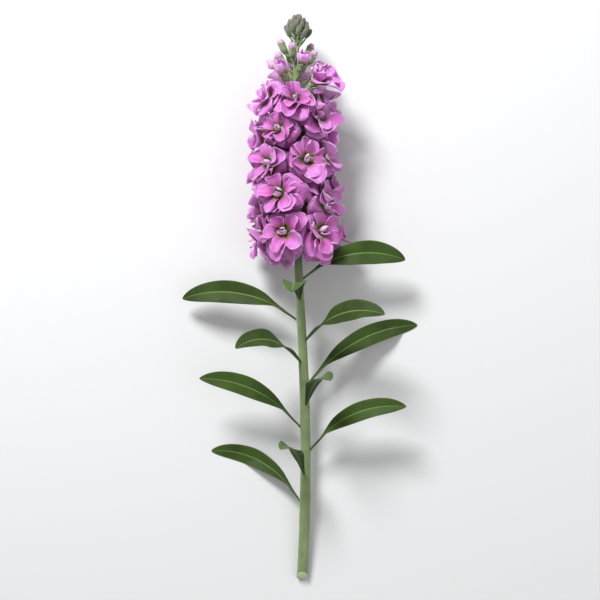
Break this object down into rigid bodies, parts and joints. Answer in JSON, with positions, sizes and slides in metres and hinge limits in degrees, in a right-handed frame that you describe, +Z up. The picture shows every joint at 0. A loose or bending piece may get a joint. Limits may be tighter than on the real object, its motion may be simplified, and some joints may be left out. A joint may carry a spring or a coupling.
{
  "type": "cut flower stem",
  "caption": "Cut stem of double garden stock lying on its side: ruffled orchid-pink florets spiral round the stem, green buds crown its tip and long leaves arch out below.",
  "frame": {"origin": "centre of the bounding box, at its bottom, on the surface that the stem lies on", "axes": "+Y along the stem from its cut end to its tip, +Z up from the surface"},
  "size_m": [0.1692, 0.403, 0.0736],
  "materials": {
    "petal": "matte",
    "stem": "matte",
    "leaf": "matte",
    "green_bud": "matte"
  },
  "bodies": {
    "root": {"stem": "stem", "bud_crown": "green_bud", "floret_01": "petal", "floret_02": "petal", "floret_03": "petal", "floret_04": "petal", "floret_05": "petal", "floret_06": "petal", "floret_07": "petal", "floret_08": "petal", "floret_09": "petal", "floret_10": "petal", "floret_11": "petal", "floret_12": "petal", "floret_13": "petal", "floret_14": "petal", "floret_15": "petal", "floret_16": "petal", "floret_17": "petal", "floret_18": "petal", "floret_19": "petal", "floret_20": "petal", "floret_21": "petal", "floret_22": "petal", "floret_23": "petal", "floret_24": "petal", "half_open_floret_1": "petal", "half_open_floret_2": "petal", "opening_bud_1": "petal", "opening_bud_2": "petal", "opening_bud_3": "petal", "opening_bud_4": "petal", "pink_bud_1": "petal", "pink_bud_2": "petal", "pink_bud_3": "petal", "pink_bud_4": "petal", "pink_bud_5": "petal", "pink_bud_6": "petal", "pink_bud_7": "petal", "leaf_01": "leaf", "leaf_02": "leaf", "leaf_03": "leaf", "leaf_04": "leaf", "leaf_05": "leaf", "leaf_06": "leaf", "leaf_07": "leaf", "leaf_08": "leaf", "leaf_09": "leaf", "leaf_10": "leaf", "leaf_11": "leaf"}
  },
  "joints": []
}
